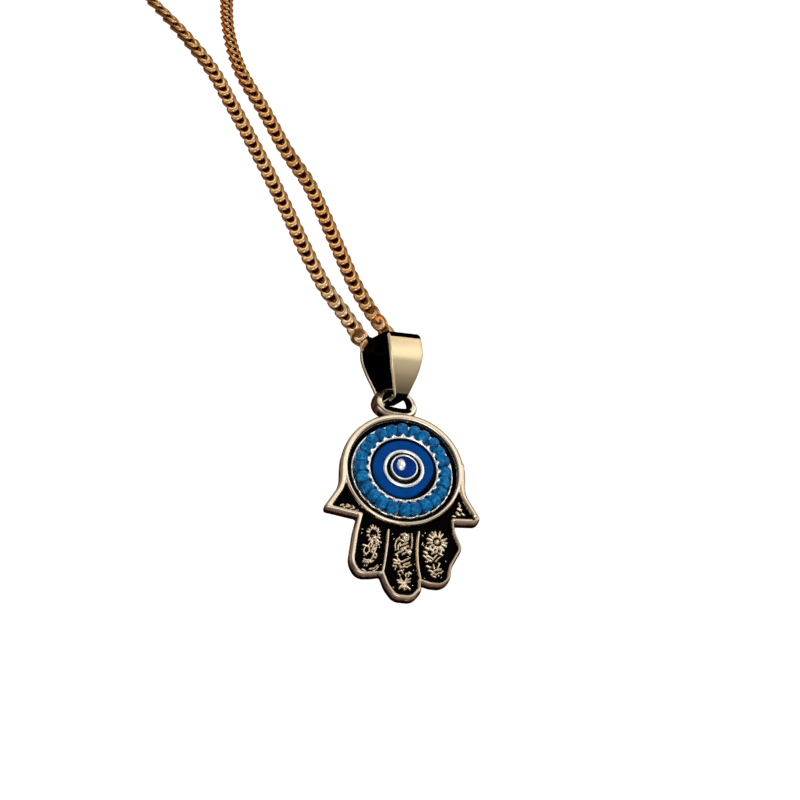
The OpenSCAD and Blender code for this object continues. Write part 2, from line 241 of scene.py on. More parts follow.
def antique(name, light, deep, brown_shade, black, shade=(0.3, 0.25, 0.16), rough=(0.17, 0.27), grain=0.9,
            bump_mm=0.006, stain=0.25, edge_tint=(0.3, 0.17, 0.1)):
    """Polished metal with painted brown shade on flanks and in recesses, painted shade, and black, by the
    tone layer of the mesh. The black is a patina in the hand's hollows and painted shade or a painted dark
    reflection elsewhere.
    """
    mat, tree, s = nodes_of(name)
    att = tree.nodes.new("ShaderNodeAttribute")
    att.attribute_name = "tone"
    tone = tree.nodes.new("ShaderNodeSeparateColor")
    tree.links.new(att.outputs["Color"], tone.inputs[0])
    fine = noise(tree, grain, 4.0)
    wide = noise(tree, grain * 6, 2.0)
    base = mix(tree, ramp(tree, wide, [(0.35, (0,)), (0.68, (1,))]), light, deep)
    # Painted shade: the blue tone mixes in the shade colour
    base = mix(tree, tone.outputs[2], base, shade)
    # Painted shade: the green tone mixes in the brown of flanks and recesses
    base = mix(tree, tone.outputs[1], base, brown_shade)
    # Fine stains break up the edge of the black
    stains = math_node(tree, "MULTIPLY", math_node(tree, "SUBTRACT", fine, 0.5), stain)
    mask = ramp(tree, math_node(tree, "ADD", tone.outputs[0], stains), [(0.32, (0,)), (0.62, (1,))])
    base = mix(tree, mask, base, black)
    tree.links.new(base, s.inputs["Base Color"])
    s.inputs["Metallic"].default_value = 1.0
    s.inputs["Specular Tint"].default_value = (*edge_tint, 1.0)
    polish = ramp(tree, fine, [(0.3, (rough[0],)), (0.75, (rough[1],))])
    tree.links.new(mix(tree, mask, polish, (0.5, 0.5, 0.5)), s.inputs["Roughness"])
    bump(tree, s, fine, bump_mm)
    return mat


def silver_material(name, smooth, matt, bright=1.0):
    mat, tree, s = nodes_of(name)
    n = noise(tree, 0.5, 3.0)
    light = [bright * v for v in (0.86, 0.86, 0.84)]
    dark = [bright * v for v in (0.68, 0.69, 0.67)]
    tree.links.new(ramp(tree, n, [(0.3, light), (0.7, dark)]), s.inputs["Base Color"])
    s.inputs["Metallic"].default_value = 1.0
    tree.links.new(ramp(tree, n, [(0.3, (smooth,)), (0.75, (matt,))]), s.inputs["Roughness"])
    bump(tree, s, n, 0.01)
    return mat


def enamel_material(name, dark, light):
    mat, tree, s = nodes_of(name)
    tree.links.new(ramp(tree, noise(tree, 1.6, 3.0), [(0.32, dark), (0.7, light)]), s.inputs["Base Color"])
    s.inputs["Roughness"].default_value = 0.24
    s.inputs["Specular IOR Level"].default_value = 0.02
    bump(tree, s, noise(tree, 1.1, 2.0), 0.006)
    return mat


def bead_material():
    mat, tree, s = nodes_of("bead_glass")
    stops = [(0.34, (0.0005, 0.035, 0.13)), (0.48, (0.0008, 0.1, 0.28)), (0.6, (0.001, 0.19, 0.45)),
             (0.72, (0.02, 0.38, 0.7))]
    tree.links.new(ramp(tree, noise(tree, 0.75, 3.0, 0.65), stops), s.inputs["Base Color"])
    s.inputs["Roughness"].default_value = 0.28
    s.inputs["Specular IOR Level"].default_value = 0.12
    bump(tree, s, noise(tree, 0.4, 2.0), 0.03)
    return mat


GOLD = antique("antique_gold", light=(0.72, 0.6, 0.45), deep=(0.6, 0.48, 0.34), brown_shade=(0.05, 0.02, 0.012),
               black=(0.002, 0.0015, 0.0015))
LEAF = antique("bail_gold", light=(0.76, 0.62, 0.39), deep=(0.68, 0.55, 0.34), brown_shade=(0.2, 0.1, 0.05),
               black=(0.0015, 0.001, 0.0012), shade=(0.22, 0.16, 0.09), rough=(0.36, 0.42), grain=2.2,
               bump_mm=0.003)
CHAIN = antique("chain_gold", light=(1.0, 0.84, 0.56), deep=(0.92, 0.73, 0.45), brown_shade=(0.25, 0.085, 0.021),
                black=(0.004, 0.0015, 0.001), shade=(0.56, 0.3, 0.11), rough=(0.24, 0.32), grain=1.4,
                bump_mm=0.002, stain=0.1, edge_tint=(0.2, 0.1, 0.05))
SILVER = silver_material("silver", 0.2, 0.42)
SOLDER = silver_material("solder_silver", 0.3, 0.4, 1.15)
BLACK = enamel_material("black_enamel", (0.001, 0.001, 0.0012), (0.003, 0.003, 0.004))
BLUE = enamel_material("blue_enamel", (0.0002, 0.043, 0.2), (0.0004, 0.058, 0.27))
NAVY = enamel_material("navy_enamel", (0.0003, 0.018, 0.14), (0.0006, 0.032, 0.22))
BEAD = bead_material()


# The hand: a height field inside its outline, with its flanks and its back

# Corners of the outline: x as a share of HALF_SPAN, z and radius as shares of DROP, and the wall after the
# corner as a share of WALL
HAND_TABLE = [
    [-0.752, 0.072, 0, 1.1], [-0.808, -0.15, 0.25, 1.1], [-1.01, -0.329, 0.02, 0.9],
    [-0.587, -0.377, 0.015, 1], [-0.64, -0.495, 0.3, 1], [-0.704, -0.729, 0.15, 0.95],
    [-0.597, -0.834, 0.085, 0.8], [-0.422, -0.827, 0.08, 0.65], [-0.312, -0.815, 0.012, 0.85],
    [-0.257, -0.903, 0.15, 0.85], [-0.15, -0.991, 0.09, 0.85], [0.084, -0.997, 0.08, 0.85],
    [0.193, -0.925, 0.06, 0.65], [0.191, -0.86, 0.012, 0.65], [0.308, -0.879, 0.1, 0.65],
    [0.543, -0.887, 0.1, 0.6], [0.578, -0.73, 0.13, 0.6], [0.722, -0.583, 0.075, 0.6],
    [0.638, -0.46, 0.1, 0.6], [0.63, -0.39, 0.015, 0.95], [0.923, -0.385, 0.048, 0.9],
    [0.961, -0.342, 0.03, 1], [0.789, -0.168, 0.2, 1.1], [0.775, 0.072, 0, 1.1]]
HALF_SPAN = 11.3
DROP = 19.6
WALL = 0.8
# Ribs between the fingers: start, pull and end of each curve, as shares of HALF_SPAN and DROP
RIBS = [[(-0.201, -0.474), (-0.226, -0.643), (-0.283, -0.801)],
        [(0.181, -0.474), (0.119, -0.668), (0.186, -0.847)]]
RIB_W = 0.44
# The least radius of an inner corner, and what a corner that turns the other way gains
INNER_MIN_R = 0.12
INNER_ADD_R = 0.1

# The height field: its reach, the blend of palm and fingers, and the rounding and drop of the walls
GRID_X = (-12.0, 12.0)
GRID_Z = (-20.4, 9.4)
PALM_BLEND = 0.5
RIM_ROUND = 0.36
RIM_DROP = 5.0
HIDDEN_R = 6.7
# Unevenness of the cast: height and size of the bumps in mm, and a seed
EDGE_WAVER = (0.05, 1.1, 3)
FLOOR_ROUGH = (0.035, 0.16, 5)
RIM_ROUGH = (0.02, 0.7, 9)
# The black of the hollows: the depth where it begins, and the depth that it takes to be full
BLACK_FROM = 0.42
BLACK_FADE = 0.22
# Reach in mm of the painted brown shade in from the outer edge
FLANK_SHADE_REACH = 0.55
# Flanks from front to back: depth, distance out of the outline, and how much painted brown shade
FLANKS = [
    [0.55, 0.03, 0.85], [0.9, 0.05, 1], [1.3, 0.05, 1], [1.7, 0.03, 1], [1.95, -0.04, 0.9],
    [2.06, -0.14, 0.6], [HAND_T, -0.3, 0.3]]


def left_of(u):
    return np.array([-u[1], u[0]])


def corner(rows, i):
    p = np.array(rows[i][:2])
    u = unit(p - np.array(rows[i - 1][:2]))
    v = unit(np.array(rows[(i + 1) % len(rows)][:2]) - p)
    return p, u, v, math.atan2(u[0] * v[1] - u[1] * v[0], u @ v)


def rounded(rows, step=math.radians(5)):
    pts = []
    for i in range(len(rows)):
        p, u, v, t = corner(rows, i)
        r = rows[i][2]
        side = 1 if t > 0 else -1
        start = p - u * r * math.tan(abs(t) / 2)
        arm = -side * r * left_of(u)
        n = max(1, math.ceil(abs(t) / step)) if r > 0 else 0
        for k in range(n + 1):
            a = t * k / n if n else 0
            c, s = math.cos(a), math.sin(a)
            pts.append(start - arm + np.array([arm[0] * c - arm[1] * s, arm[0] * s + arm[1] * c]))
    return np.array(pts)


def inset(rows):
    """The rows of the outline further in by its walls."""
    out = []
    for i in range(len(rows)):
        p, u, v, t = corner(rows, i)
        a = rows[i - 1][3]
        b = rows[i][3]
        k = (b - a * (left_of(u) @ left_of(v))) / (u @ left_of(v))
        q = p + left_of(u) * a + u * k
        r = max(rows[i][2] - (a + b) / 2, INNER_MIN_R) if t > 0 else rows[i][2] + INNER_ADD_R
        out.append([q[0], q[1], r])
    return out


def polygon_field(poly, X, Z):
    """Signed distance to a closed polygon, positive inside."""
    px = X.ravel()
    pz = Z.ravel()
    best = np.full(px.shape, 1e9)
    inside = np.zeros(px.shape, bool)
    for (ax, az), (bx, bz) in zip(poly, np.roll(poly, -1, axis=0)):
        dx = bx - ax
        dz = bz - az
        length = dx * dx + dz * dz
        if length < 1e-12:
            continue
        t = np.clip(((px - ax) * dx + (pz - az) * dz) / length, 0, 1)
        best = np.minimum(best, (px - ax - t * dx) ** 2 + (pz - az - t * dz) ** 2)
        if az != bz:
            inside ^= ((az > pz) != (bz > pz)) & (px < dx * (pz - az) / dz + ax)
    d = np.sqrt(best)
    return np.where(inside, d, -d).reshape(X.shape)


def path_distance(pts, X, Z):
    best = np.full(X.shape, 1e9)
    for (ax, az), (bx, bz) in zip(pts[:-1], pts[1:]):
        dx = bx - ax
        dz = bz - az
        t = np.clip(((X - ax) * dx + (Z - az) * dz) / (dx * dx + dz * dz + 1e-12), 0, 1)
        best = np.minimum(best, np.hypot(X - ax - t * dx, Z - az - t * dz))
    return best


def soft_max(a, b, k):
    h = np.clip(0.5 + 0.5 * (a - b) / k, 0, 1)
    return b * (1 - h) + a * h + k * h * (1 - h)


def blur(field, cells):
    n = int(cells * 3) + 1
    w = np.exp(-0.5 * (np.arange(-n, n + 1) / cells) ** 2)
    w /= w.sum()
    pad = np.pad(field, n, mode="edge")
    rows = sum(w[i] * pad[i:i + field.shape[0], :] for i in range(2 * n + 1))
    return sum(w[i] * rows[:, i:i + field.shape[1]] for i in range(2 * n + 1))


def unevenness(shape, step, bumps):
    """Smooth random field from a row of height, size and seed."""
    height, size, seed = bumps
    field = blur(np.random.default_rng(seed).standard_normal(shape), size / step)
    return height * (field / (np.abs(field).max() + 1e-9))


# Relief on the fingers, in mm from the middle of the eye. Strokes: x and z of both ends and half the width
LEFT_STROKES = [
    (-5.85, -11.5, -5.05, -11.7, 0.125), (-5.05, -11.7, -4.9, -12.3, 0.135),
    (-4.9, -12.3, -5.35, -12.95, 0.135), (-5.35, -12.95, -5.8, -12.5, 0.135),
    (-5.8, -12.5, -5.55, -11.9, 0.125), (-4.5, -12.1, -3.95, -11.85, 0.135),
    (-3.95, -11.85, -4.2, -12.5, 0.145), (-4.6, -12.5, -3.9, -12.85, 0.135),
    (-4.55, -13.15, -4, -13.35, 0.125), (-4.35, -12.85, -4.6, -13.5, 0.135),
    (-5.75, -13.6, -5.3, -13.8, 0.135), (-5.55, -14.1, -5.1, -13.7, 0.135),
    (-5.15, -14.2, -4.8, -13.7, 0.135), (-4.75, -14.05, -4.35, -13.8, 0.125),
    (-5.9, -14.05, -5.65, -13.75, 0.115), (-5.05, -11.55, -4.9, -11.25, 0.115),
    (-4.7, -11.7, -4.55, -11.35, 0.115), (-4.35, -11.75, -4.25, -11.45, 0.115),
    (-3.9, -11.6, -4, -11.35, 0.115), (-3.55, -11.4, -3.7, -11.15, 0.115),
    (-3.2, -11.05, -3.4, -10.9, 0.115), (-6.05, -15.15, -5.4, -15.5, 0.105),
    (-5.4, -15.5, -4.75, -15.5, 0.105), (-4.75, -15.5, -4.1, -15.2, 0.105),
    (-4.1, -15.2, -3.7, -14.65, 0.105), (-5, -15.1, -4.35, -14.95, 0.095),
    (-4.35, -14.95, -3.8, -14.4, 0.095)]
MIDDLE_STROKES = [
    (-0.4, -9.65, 0.15, -9.45, 0.135), (0.15, -9.45, 0.65, -9.8, 0.135), (0.65, -9.8, 0.55, -10.4, 0.135),
    (0.55, -10.4, -0.05, -10.65, 0.135), (-0.05, -10.65, -0.5, -10.4, 0.135),
    (1.1, -9.4, 1.15, -10.45, 0.135), (1.15, -10.45, 1.05, -11.6, 0.135),
    (-0.65, -10.05, -1.1, -10.6, 0.145), (-1.1, -10.6, -1.35, -11.4, 0.155),
    (-1.35, -11.4, -1.25, -12, 0.145), (-0.55, -10.85, -0.9, -11.4, 0.135),
    (-0.9, -11.4, -0.85, -11.9, 0.135), (-0.55, -11.3, 0.45, -10.85, 0.145),
    (-0.4, -11.8, 0.6, -11.3, 0.155), (-1.05, -12.5, -0.4, -12.15, 0.155),
    (-0.25, -12.6, 0.45, -12.15, 0.155), (0.65, -11.85, 1, -12.25, 0.145),
    (0.15, -11.75, 0.8, -12.55, 0.145), (-1.35, -12.65, -0.95, -12.9, 0.135),
    (-1.6, -13.45, -1.05, -13.65, 0.155), (-1.55, -13.95, -0.9, -14, 0.155),
    (-1.7, -14.4, -1.15, -14.5, 0.145), (-1.05, -13.2, -0.6, -13.75, 0.145),
    (-0.75, -14.1, -0.6, -14.6, 0.145), (-0.35, -13.7, 0.2, -13.4, 0.155), (0.2, -13.4, 0.8, -13.1, 0.145),
    (-0.15, -14.15, 0.7, -13.8, 0.155), (0.35, -14.45, 0.95, -14.15, 0.145),
    (-0.55, -14.55, 0.05, -14.45, 0.135), (-0.95, -15.25, -0.45, -15, 0.115),
    (-0.45, -15, -0.3, -15.45, 0.115), (0.55, -15.2, 0.9, -15.5, 0.115),
    (-0.95, -15.55, -0.65, -15.8, 0.105), (-1.15, -16.5, -0.55, -16.6, 0.135),
    (0.3, -16.45, 0.8, -16.2, 0.135), (-0.9, -17.75, -0.35, -17.45, 0.135),
    (0.2, -17.45, 0.7, -17.8, 0.135), (-0.7, -18.75, 0.25, -18.8, 0.115), (0.25, -18.8, 1.0, -18.45, 0.115)]
RIGHT_STROKES = [
    (2.95, -11.35, 3.5, -11.65, 0.155), (3.6, -11.4, 4.05, -11.85, 0.155), (2.7, -12, 3.25, -12.25, 0.155),
    (3.25, -12.6, 3.8, -12.9, 0.155), (3.9, -12.25, 4.55, -11.9, 0.155), (4.55, -12.45, 4, -13.1, 0.155),
    (4.9, -12.15, 5.4, -12.4, 0.145), (3.3, -13.2, 3.8, -13.4, 0.145), (5, -12.75, 4.4, -13.35, 0.145),
    (2.6, -12.6, 3.1, -12.95, 0.145), (5.15, -11.6, 5.65, -11.7, 0.135), (3.05, -14.15, 3.6, -14.35, 0.155),
    (4, -13.9, 4.15, -14.4, 0.155), (4.95, -13.7, 4.65, -14.35, 0.155), (3.35, -14.8, 3.9, -14.95, 0.155),
    (4.2, -14.75, 5.1, -14.55, 0.155), (3.65, -15.4, 4.15, -15.15, 0.145),
    (4.35, -15.4, 4.85, -15.1, 0.145), (5.1, -15.1, 5.4, -14.8, 0.135), (3.95, -15.65, 4.35, -15.8, 0.135)]
THUMB_STROKES = [
    (-8.9, -5.75, -8.5, -5.6, 0.175), (-8.4, -6.0, -7.9, -5.9, 0.155), (-7.95, -5.55, -7.6, -5.75, 0.195),
    (-7.5, -6.25, -7.1, -6.1, 0.165), (-7.2, -5.7, -6.9, -6.0, 0.135), (-6.8, -6.45, -6.4, -6.35, 0.155),
    (7.95, -4.3, 8.15, -4.75, 0.185), (7.85, -5.1, 8.3, -5.35, 0.215), (7.6, -5.75, 8.0, -6.15, 0.205),
    (8.4, -5.85, 8.7, -6.1, 0.175), (7.1, -6.3, 7.4, -6.45, 0.155)]
# Flowers: x, z, number of petals, inner and outer reach, half width, height, stretch along z, and turn
FLOWERS = [
    [-4.28, -9.85, 15, 0.62, 0.97, 0.13, 0.4, 1.45, 0],
    [-4.13, -10.25, 5, 0.1, 0.4, 0.1, 0.38, 1, 0],
    [-0.16, -16.98, 7, 0.16, 0.9, 0.16, 0.42, 0.95, 15],
    [4.69, -10.43, 15, 0.74, 1.45, 0.17, 0.42, 1.1, 0]]
# Balls in the flowers and the bud: x, z, radius and height
BALLS = [[-4.13, -10.25, 0.2, 0.4], [0.1, -10.04, 0.34, 0.4], [4.69, -10.43, 0.4, 0.6]]
# Swirl on the middle finger: x, z, radius, first and last angle, half width and height
SWIRL = [0.3, -15.65, 0.26, -60, 230, 0.08, 0.34]
# Loose grains between the strokes: how many in every box of x and z, and their height
GRAINS = 26
GRAIN_BOXES = [(-6.2, -3.3, -15.1, -8.7), (-1.7, 1.4, -18.4, -9.2), (2.5, 5.9, -16, -8.9)]
GRAIN_H = 0.33
# Every stroke is a little wider than its row says, and its crest is flatter than a round one
STROKE_GROW = 0.015
STROKE_POWER = 0.36


def relief_shapes():
    """Paths on the floor of the hollows, each with half its width and its height."""
    shapes = []
    rng = random.Random(7)

    def bar(x0, z0, x1, z1, w, h):
        shapes.append(([(x0, z0), (x1, z1)], w, h))

    def dot(x, z, r, h):
        bar(x, z, x + 0.001, z, r, h)

    def swirl(x, z, r, first, last, w, h):
        turns = [math.radians(first + (last - first) * k / 12) for k in range(13)]
        shapes.append(([(x + r * math.cos(a), z + r * math.sin(a)) for a in turns], w, h))

    def flower(x, z, n, r0, r1, w, h, stretch, turn):
        for k in range(n):
            a = math.radians(turn + 360 * k / n + rng.uniform(-6, 6))
            tip = r1 + rng.uniform(-0.06, 0.06)
            c, s = math.cos(a), stretch * math.sin(a)
            bar(x + r0 * c, z + r0 * s, x + tip * c, z + tip * s, w, h * rng.uniform(0.85, 1.1))

    for row in FLOWERS:
        flower(*row)
    for row in BALLS:
        dot(*row)
    swirl(*SWIRL)
    heights = ((LEFT_STROKES, 0.4), (MIDDLE_STROKES, 0.42), (RIGHT_STROKES, 0.42), (THUMB_STROKES, 0.34))
    for strokes, h in heights:
        for row in strokes:
            bar(*row, h)
    grains = random.Random(77)
    for x0, x1, z0, z1 in GRAIN_BOXES:
        for k in range(GRAINS):
            dot(grains.uniform(x0, x1), grains.uniform(z0, z1), grains.uniform(0.07, 0.12), GRAIN_H)
    return shapes


def relief_field(X, Z):
    """Height of the relief over the floor."""
    relief = np.zeros(X.shape)
    for pts, w, h in relief_shapes():
        reach = w + 0.1
        x0, z0 = np.min(pts, 0) - reach
        x1, z1 = np.max(pts, 0) + reach
        near = (slice(*np.searchsorted(X[:, 0], [x0, x1])), slice(*np.searchsorted(Z[0, :], [z0, z1])))
        d = path_distance(pts, X[near], Z[near]) / (w + STROKE_GROW)
        relief[near] = np.maximum(relief[near], h * clip01(1 - d * d) ** STROKE_POWER)
    return relief


def hand_fields(step):
    """Grid of x, z and radius, and fields that are positive in the outline, the hollows and the metal."""
    rows = [[r[0] * HALF_SPAN, r[1] * DROP, r[2] * DROP, r[3] * WALL] for r in HAND_TABLE]
    X, Z = np.meshgrid(np.arange(*GRID_X, step), np.arange(*GRID_Z, step), indexing="ij")
    waver = unevenness(X.shape, step, EDGE_WAVER)
    R = np.hypot(X, Z)
    outline = soft_max(PALM_R - R, polygon_field(rounded(rows), X, Z), PALM_BLEND) + waver * 0.6
    hollow = polygon_field(rounded(inset(rows)), X, Z)
    rib = np.full(X.shape, 1e9)
    for row in RIBS:
        p = [np.array([q[0] * HALF_SPAN, q[1] * DROP]) for q in row]
        pts = [(1 - t) ** 2 * p[0] + 2 * t * (1 - t) * p[1] + t * t * p[2] for t in np.linspace(0, 1, 17)]
        rib = np.minimum(rib, path_distance(pts, X, Z) - RIB_W / 2)
    hollow = np.minimum(np.minimum(hollow, R - BEZEL_R), rib) + waver * 0.5
    metal = np.minimum(np.minimum(outline, -hollow), R - RECESS_R + waver * 0.3)
    return X, Z, R, outline, hollow, metal


def hand_height(step):
    """The grid with the height of the front and its tones."""
    X, Z, R, outline, hollow, metal = hand_fields(step)
    # Rounded crests: the rim sinks towards every edge, then drops steeply
    m = clip01(metal / RIM_ROUND)
    crest = -RIM_ROUND * (1 - np.sqrt(clip01(1 - (1 - m) ** 2)))
    height = np.where(metal >= 0, crest, -RIM_ROUND + RIM_DROP * metal)
    floor = np.where(R < RECESS_R, -RECESS_D, -FLOOR_D) + unevenness(X.shape, step, FLOOR_ROUGH)
    relief = relief_field(X, Z) * clip01((hollow - 0.02) / 0.15)
    height = blur(np.maximum(height, floor + relief), 0.05 / step)
    height += unevenness(X.shape, step, RIM_ROUGH)
    # Black patina in the hollows but not on the relief, and painted brown shade near the outer edges
    cavity = blur(height, 0.35 / step) - height
    black = clip01((-height - BLACK_FROM) / BLACK_FADE)
    black = np.where(relief > 0.12, clip01(0.55 - relief * 2.4), black)
    black = clip01(black + np.clip(cavity * 1.6, 0, 0.5))
    brown_shade = 0.9 * clip01(1 - outline / FLANK_SHADE_REACH) ** 1.6
    return X, Z, R, outline, height, np.stack([black, brown_shade, np.zeros_like(black)], -1)


def cell_corners(grid):
    """The four corners of every cell of a grid, around the cell."""
    return np.stack([grid[:-1, :-1], grid[1:, :-1], grid[1:, 1:], grid[:-1, 1:]], -1)


def hand_front(step):
    """Points, faces and tones of the front, cut at the outline and open under the dish."""
    X, Z, R, outline, height, tone = hand_height(step)
    # Points just outside the outline move onto it
    gx, gz = np.gradient(outline, step)
    norm = np.maximum(np.hypot(gx, gz), 1e-6)
    core = outline >= 0.35 * step
    snap = ~core & (outline > -1.6 * step)
    px = np.where(snap, X - outline * gx / norm, X)
    pz = np.where(snap, Z - outline * gz / norm, Z)
    depth = -np.where(snap, np.minimum(height, -0.3), height)
    # The points on the outline get painted brown shade, as the flanks do
    tone[snap] = (0, 0.85, 0)
    keep = cell_corners(core).any(-1) & cell_corners(core | snap).all(-1)
    keep &= ~cell_corners(R < HIDDEN_R).all(-1)
    quads = cell_corners(np.arange(X.size).reshape(X.shape))[keep]
    used, faces = np.unique(quads, return_inverse=True)
    verts = np.stack([px, depth, pz], -1).reshape(-1, 3)[used]
    return verts.tolist(), faces.reshape(quads.shape).tolist(), tone.reshape(-1, 3)[used].tolist()


def border_rings(faces):
    """Rings of points along the open edges of the faces."""
    edges = dict.fromkeys((a, b) for f in faces for a, b in zip(f, f[1:] + f[:1]))
    follow = {b: a for a, b in edges if (b, a) not in edges}
    left = set(follow)
    rings = []
    while left:
        ring = [left.pop()]
        at = follow[ring[0]]
        while at in left:
            left.discard(at)
            ring.append(at)
            at = follow[at]
        rings.append(ring)
    return rings


def build_hand():
    verts, faces, tones = hand_front(0.085)
    rings = border_rings(faces)
    outer = max(rings, key=lambda ring: max(math.hypot(verts[i][0], verts[i][2]) for i in ring))
    # The opening under the dish is closed, and tiny rings are left alone
    faces += [ring for ring in rings if ring is not outer and len(ring) > 60]
    pts = np.array([[verts[i][0], verts[i][2]] for i in outer])
    way = tangents(pts, 3)
    out = np.stack([-way[:, 1], way[:, 0]], 1)
    if np.hypot(*(pts + out * 0.3).T).mean() < np.hypot(*pts.T).mean():
        out = -out
    last = outer
    for depth, distance, brown_shade in FLANKS:
        ring = list(range(len(verts), len(verts) + len(pts)))
        verts += [[x, depth, z] for x, z in pts + out * distance]
        tones += [[0.0, brown_shade, 0.0]] * len(pts)
        for k in range(len(ring)):
            k2 = (k + 1) % len(ring)
            faces.append([last[k], last[k2], ring[k2], ring[k]])
        last = ring
    # The flat back
    faces.append(last)
    shape = Shape()
    shape.add(np.array(verts) + EYE, faces, np.array(tones))
    add_loop(shape)
    make("hand_cast", shape, GOLD, "hand", ["hand"], toned=True)


# The share of the lower half of the loop's hole that is left open; the rest is filled and painted black as
# a painted shadow in the hole
HOLE_OPEN_SHARE = 0.42
# Thickness of the loop at its top, and what it gains at its left, right and foot
LOOP_T = 0.66
LOOP_GAIN = (0.72, 0.36, 1.0)
LOOP_HALF_D = 1.0


def add_loop(shape):
    """The loop on the palm: a ring about an oval hole, deep at the palm and thin at its top."""
    mid = LOOP_SEAT - np.array([0, 0, LOOP_HOLE_H / 2])
    ex = np.array([math.cos(LOOP_TURN), math.sin(LOOP_TURN), 0])
    ey = np.array([-math.sin(LOOP_TURN), math.cos(LOOP_TURN), 0])
    ez = np.array([0, 0, 1.0])
    rings = []
    tones = []
    for a in circle(96):
        c, s = math.cos(a), math.sin(a)
        left, right, up, down = max(-c, 0), max(c, 0), max(s, 0), max(-s, 0)
        ix = LOOP_HOLE_W / 2 * signed_power(c, 0.9)
        iz = LOOP_HOLE_H / 2 * signed_power(s, 0.9) * (1 if s > 0 else HOLE_OPEN_SHARE)
        thick = LOOP_T + (1 - up) * (LOOP_GAIN[0] * left + LOOP_GAIN[1] * right) + LOOP_GAIN[2] * down
        half = LOOP_HALF_D * (1 - 0.5 * up)
        nx, nz = unit([c / LOOP_HOLE_W, s / LOOP_HOLE_H])
        row = []
        for b in circle(24):
            # Across the band: 1 at the outer side, -1 at the hole
            u = signed_power(math.cos(b), 0.7)
            v = signed_power(math.sin(b), 0.7)
            w = thick * (0.5 + 0.5 * u)
            row.append(mid + ex * (ix + nx * w) + ez * (iz + nz * w) + ey * (half * v))
            # Painted shade: black at the hole and on the fill at its foot, and painted brown shade on the
            # outer wall at the left
            solder = clip01((down - 0.55) / 0.2) * clip01((0.35 - u) / 0.3)
            inner = clip01((-u - 0.45) / 0.3) + solder
            wall = clip01(1.25 - 1.5 * clip01(abs(v) / 0.8)) + left * clip01((u - 0.25) / 0.3)
            tones.append([min(inner, 1), 0.95 * min(wall, 1), 0])
        rings.append(np.array(row))
    shape.rings(rings, closed_way=True, tones=np.array(tones))


# The eye

BEAD_N = 24
IRIS_R = 4.7
PUPIL_R = 2.42
CORE_R = 1.68
# Foot of the small silver rings, and the front and back of the black enamel
RING_FOOT = 0.3
BLACK_FRONT = 0.28
BLACK_BACK = 1.05
# The pearl on the pupil: its middle, half its width and height, its foot and how far it stands out
PEARL_X, PEARL_Z = -0.45, 0.32
PEARL_W, PEARL_H = 0.66, 0.94
PEARL_FOOT, PEARL_OUT = -0.74, 0.6


def half_round(mid_r, half, top, foot):
    """Profile of a half-round ring: its foot, its crest and its foot again."""
    arch = [math.pi * (1 - k / 7) for k in range(8)]
    crest = [(mid_r + half * math.cos(a), top + half * 0.8 * (1 - math.sin(a))) for a in arch]
    return [(mid_r - half, foot), *crest, (mid_r + half, foot)]


def wobble_of(seed, amount, lift=0.0):
    gen = random.Random(seed)
    waves = (1, 2, 3, 5, 8)
    terms = [(f, gen.uniform(0, 6.28), gen.uniform(0.4, 1) / f, gen.uniform(0, 6.28)) for f in waves]

    def wobble(a):
        r = sum(w * math.sin(f * a + p) for f, p, w, q in terms)
        h = sum(w * math.sin(f * a + q) for f, p, w, q in terms)
        return amount * r, lift * h
    return wobble


def between_beads(a, power):
    """One in the middle between two beads and zero on them, by the angle from the top."""
    return (0.5 - 0.5 * math.cos(BEAD_N * a + math.pi)) ** power


def turned(rows_at, sides):
    """Rings about the eye's axis from rows of radius and depth at every angle from the top."""
    rings = []
    for k in range(sides):
        a = 2 * math.pi * k / sides
        rings.append(EYE + np.array([(r * math.sin(a), d, r * math.cos(a)) for r, d in rows_at(a)]))
    return rings


def turned_piece(name, rows_at, sides, material, node):
    shape = Shape()
    shape.rings(turned(rows_at, sides), closed_way=True, closed_ring=False)
    make(name, shape, material, "hand", [node])


def build_dish():
    """Silver dish with a toothed ring around the enamel and a scalloped edge outside the beads."""
    wobble = wobble_of(11, 0.03, 0.03)

    def floor_rows(a):
        # The scalloped edge stands up below the lower beads alone
        low = max(-math.cos(a), 0) ** 0.5
        crest = 1.0 - 0.5 * low
        scallop = between_beads(a, 4) * low
        return [(5.0, 0.98), (5.6, 1.0), (6.3, 1.08), (6.85, 1.0 - 0.35 * scallop),
                (7.02, crest - 0.4 * scallop), (7.16, crest - 0.08 - 0.4 * scallop),
                (7.3, crest - 0.3 * scallop), (7.35, 1.1), (7.35, 1.45), (4.8, 1.45)]

    def ring_rows(a):
        tooth = between_beads(a, 1.6)
        dr, dd = wobble(a)
        r = IRIS_R + 0.02 + dr
        reach = r + 0.32 + 0.62 * tooth
        lift = dd - 0.25 * tooth
        return [(r, 1.2), (r, -0.16 + dd), (r + 0.07, -0.27 + dd), (r + 0.17, -0.3 + dd),
                (r + 0.28, -0.24 + lift), (reach, -0.1 + lift), (reach + 0.04, 0.02 + dd),
                (reach, 0.12 + dd), (r + 0.3, 0.3), (r + 0.3, 1.2)]

    dish = Shape()
    dish.rings(turned(floor_rows, 384), closed_way=True)
    dish.rings(turned(ring_rows, 384), closed_way=True)
    make("eye_dish_silver", dish, SILVER, "hand", ["eye_dish"])


def round_ring(name, mid_r, half, top, node, seed, wave):
    wobble = wobble_of(seed, wave, wave)

    def rows(a):
        dr, dd = wobble(a)
        return [(r + dr, d + dd) for r, d in half_round(mid_r, half, top, RING_FOOT)]

    turned_piece(name, rows, 128, SILVER, node)


